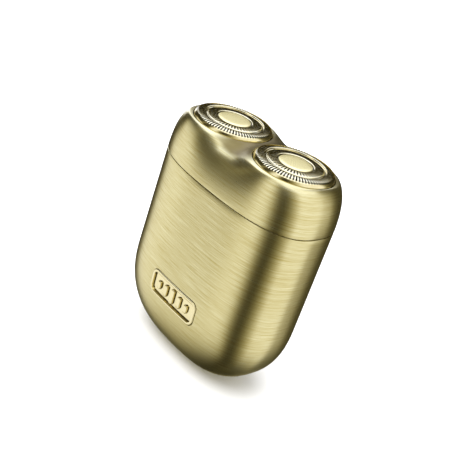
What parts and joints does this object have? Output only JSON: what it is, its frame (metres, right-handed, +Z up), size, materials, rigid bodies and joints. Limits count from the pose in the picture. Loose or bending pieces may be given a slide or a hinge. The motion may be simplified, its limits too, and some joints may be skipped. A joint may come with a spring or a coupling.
{
  "type": "rotary shaver",
  "caption": "Pocket rotary shaver: rounded brushed gold metal body, lift-off head with floating round slotted foil caps, power button on the back and charging port in the foot.",
  "frame": {"origin": "centre of the flat foot that the shaver stands on", "axes": "+Z up towards the shaving head, -Y the front with the badge, +Y the back with the power button, X along the two foil caps"},
  "size_m": [0.056, 0.0314, 0.0683],
  "materials": {
    "brushed_gold": "pale gold plating over die-cast metal, brushed around the body",
    "polished_gold": "polished pale gold plating",
    "steel": "bright steel",
    "black_plastic": "moulded, fine texture",
    "white_acetal": "moulded acetal",
    "silicone": "soft silicone",
    "circuit_board": "green solder mask",
    "cell_pouch": "laminated pouch",
    "nickel_magnet": "nickel plated",
    "core_iron": "stacked core plates",
    "clear_lens": "frosted light pipe",
    "red_lead": "wire insulation",
    "black_lead": "wire insulation"
  },
  "bodies": {
    "body": {"body_shell": "brushed_gold", "badge_plate": "brushed_gold", "button_bezel": "polished_gold", "button_seal": "silicone", "indicator_lens": "clear_lens", "deck": "black_plastic", "deck_seal": "silicone", "deck_screw_front": "steel", "deck_screw_back": "steel", "magnet_left": "nickel_magnet", "magnet_right": "nickel_magnet", "shaft_seal_left": "silicone", "shaft_seal_right": "silicone", "motor_plate": "white_acetal", "plate_screw_1": "steel", "plate_screw_2": "steel", "plate_screw_3": "steel", "plate_screw_4": "steel", "axle_left": "steel", "axle_right": "steel", "motor_can": "steel", "motor_end_cap": "black_plastic", "inner_frame": "black_plastic", "battery_cell": "cell_pouch", "main_board": "circuit_board", "switch_base": "steel", "charge_board": "circuit_board", "socket_shell": "steel", "socket_tongue": "black_plastic", "battery_lead_left": "red_lead", "battery_lead_right": "black_lead", "motor_lead_left": "red_lead", "motor_lead_right": "black_lead"},
    "rotor": {"motor_shaft": "steel", "motor_armature": "core_iron", "pinion": "white_acetal"},
    "gear_left": {"drive_gear_left": "white_acetal", "coupler_spring_left": "steel"},
    "gear_right": {"drive_gear_right": "white_acetal", "coupler_spring_right": "steel"},
    "coupler_left": {"coupler_left": "white_acetal"},
    "coupler_right": {"coupler_right": "white_acetal"},
    "head": {"head_shell": "brushed_gold", "retainer_plate": "black_plastic", "keeper_left": "steel", "keeper_right": "steel", "retainer_screw_front": "steel", "retainer_screw_back": "steel"},
    "cap_left": {"foil_cap_left": "polished_gold", "cap_disc_left": "polished_gold"},
    "cap_right": {"foil_cap_right": "polished_gold", "cap_disc_right": "polished_gold"},
    "cutter_left": {"cutter_blades_left": "steel", "cutter_hub_left": "white_acetal"},
    "cutter_right": {"cutter_blades_right": "steel", "cutter_hub_right": "white_acetal"},
    "button": {"power_button": "brushed_gold", "switch_plunger": "black_plastic"}
  },
  "joints": [
    {"name": "head_lift", "type": "slide", "parent": "body", "child": "head", "axis": [0, 0, 1], "range_m": [0, 0.015]},
    {"name": "motor_spin", "type": "hinge", "parent": "body", "child": "rotor", "pos_m": [0, 0, 0.04], "axis": [0, 0, 1], "continuous": true},
    {"name": "power_button_press", "type": "slide", "parent": "body", "child": "button", "axis": [0, -1, 0], "range_m": [0, 0.0004], "stiffness_N_per_m": 2500, "springref_m": -0.0002},
    {"name": "cap_left_float", "type": "slide", "parent": "head", "child": "cap_left", "axis": [0, 0, 1], "range_m": [-0.0008, 0], "stiffness_N_per_m": 600, "springref_m": 0.001},
    {"name": "cutter_left_spin", "type": "hinge", "parent": "cap_left", "child": "cutter_left", "pos_m": [-0.0125, 0, 0.063], "axis": [0, 0, 1], "continuous": true},
    {"name": "gear_left_spin", "type": "hinge", "parent": "body", "child": "gear_left", "pos_m": [-0.0125, 0, 0.05], "axis": [0, 0, 1], "continuous": true},
    {"name": "coupler_left_slide", "type": "slide", "parent": "gear_left", "child": "coupler_left", "axis": [0, 0, 1], "range_m": [-0.0008, 0], "deforming": ["coupler_spring_left"]},
    {"name": "cap_right_float", "type": "slide", "parent": "head", "child": "cap_right", "axis": [0, 0, 1], "range_m": [-0.0008, 0], "stiffness_N_per_m": 600, "springref_m": 0.001},
    {"name": "cutter_right_spin", "type": "hinge", "parent": "cap_right", "child": "cutter_right", "pos_m": [0.0125, 0, 0.063], "axis": [0, 0, 1], "continuous": true},
    {"name": "gear_right_spin", "type": "hinge", "parent": "body", "child": "gear_right", "pos_m": [0.0125, 0, 0.05], "axis": [0, 0, 1], "continuous": true},
    {"name": "coupler_right_slide", "type": "slide", "parent": "gear_right", "child": "coupler_right", "axis": [0, 0, 1], "range_m": [-0.0008, 0], "deforming": ["coupler_spring_right"]}
  ],
  "couplings": [
    {"joint": "gear_left_spin", "follows": "motor_spin", "ratio": -0.38889},
    {"joint": "cutter_left_spin", "follows": "motor_spin", "ratio": -0.38889},
    {"joint": "coupler_left_slide", "follows": "cap_left_float", "ratio": 1},
    {"joint": "gear_right_spin", "follows": "motor_spin", "ratio": -0.38889},
    {"joint": "cutter_right_spin", "follows": "motor_spin", "ratio": -0.38889},
    {"joint": "coupler_right_slide", "follows": "cap_right_float", "ratio": 1}
  ]
}
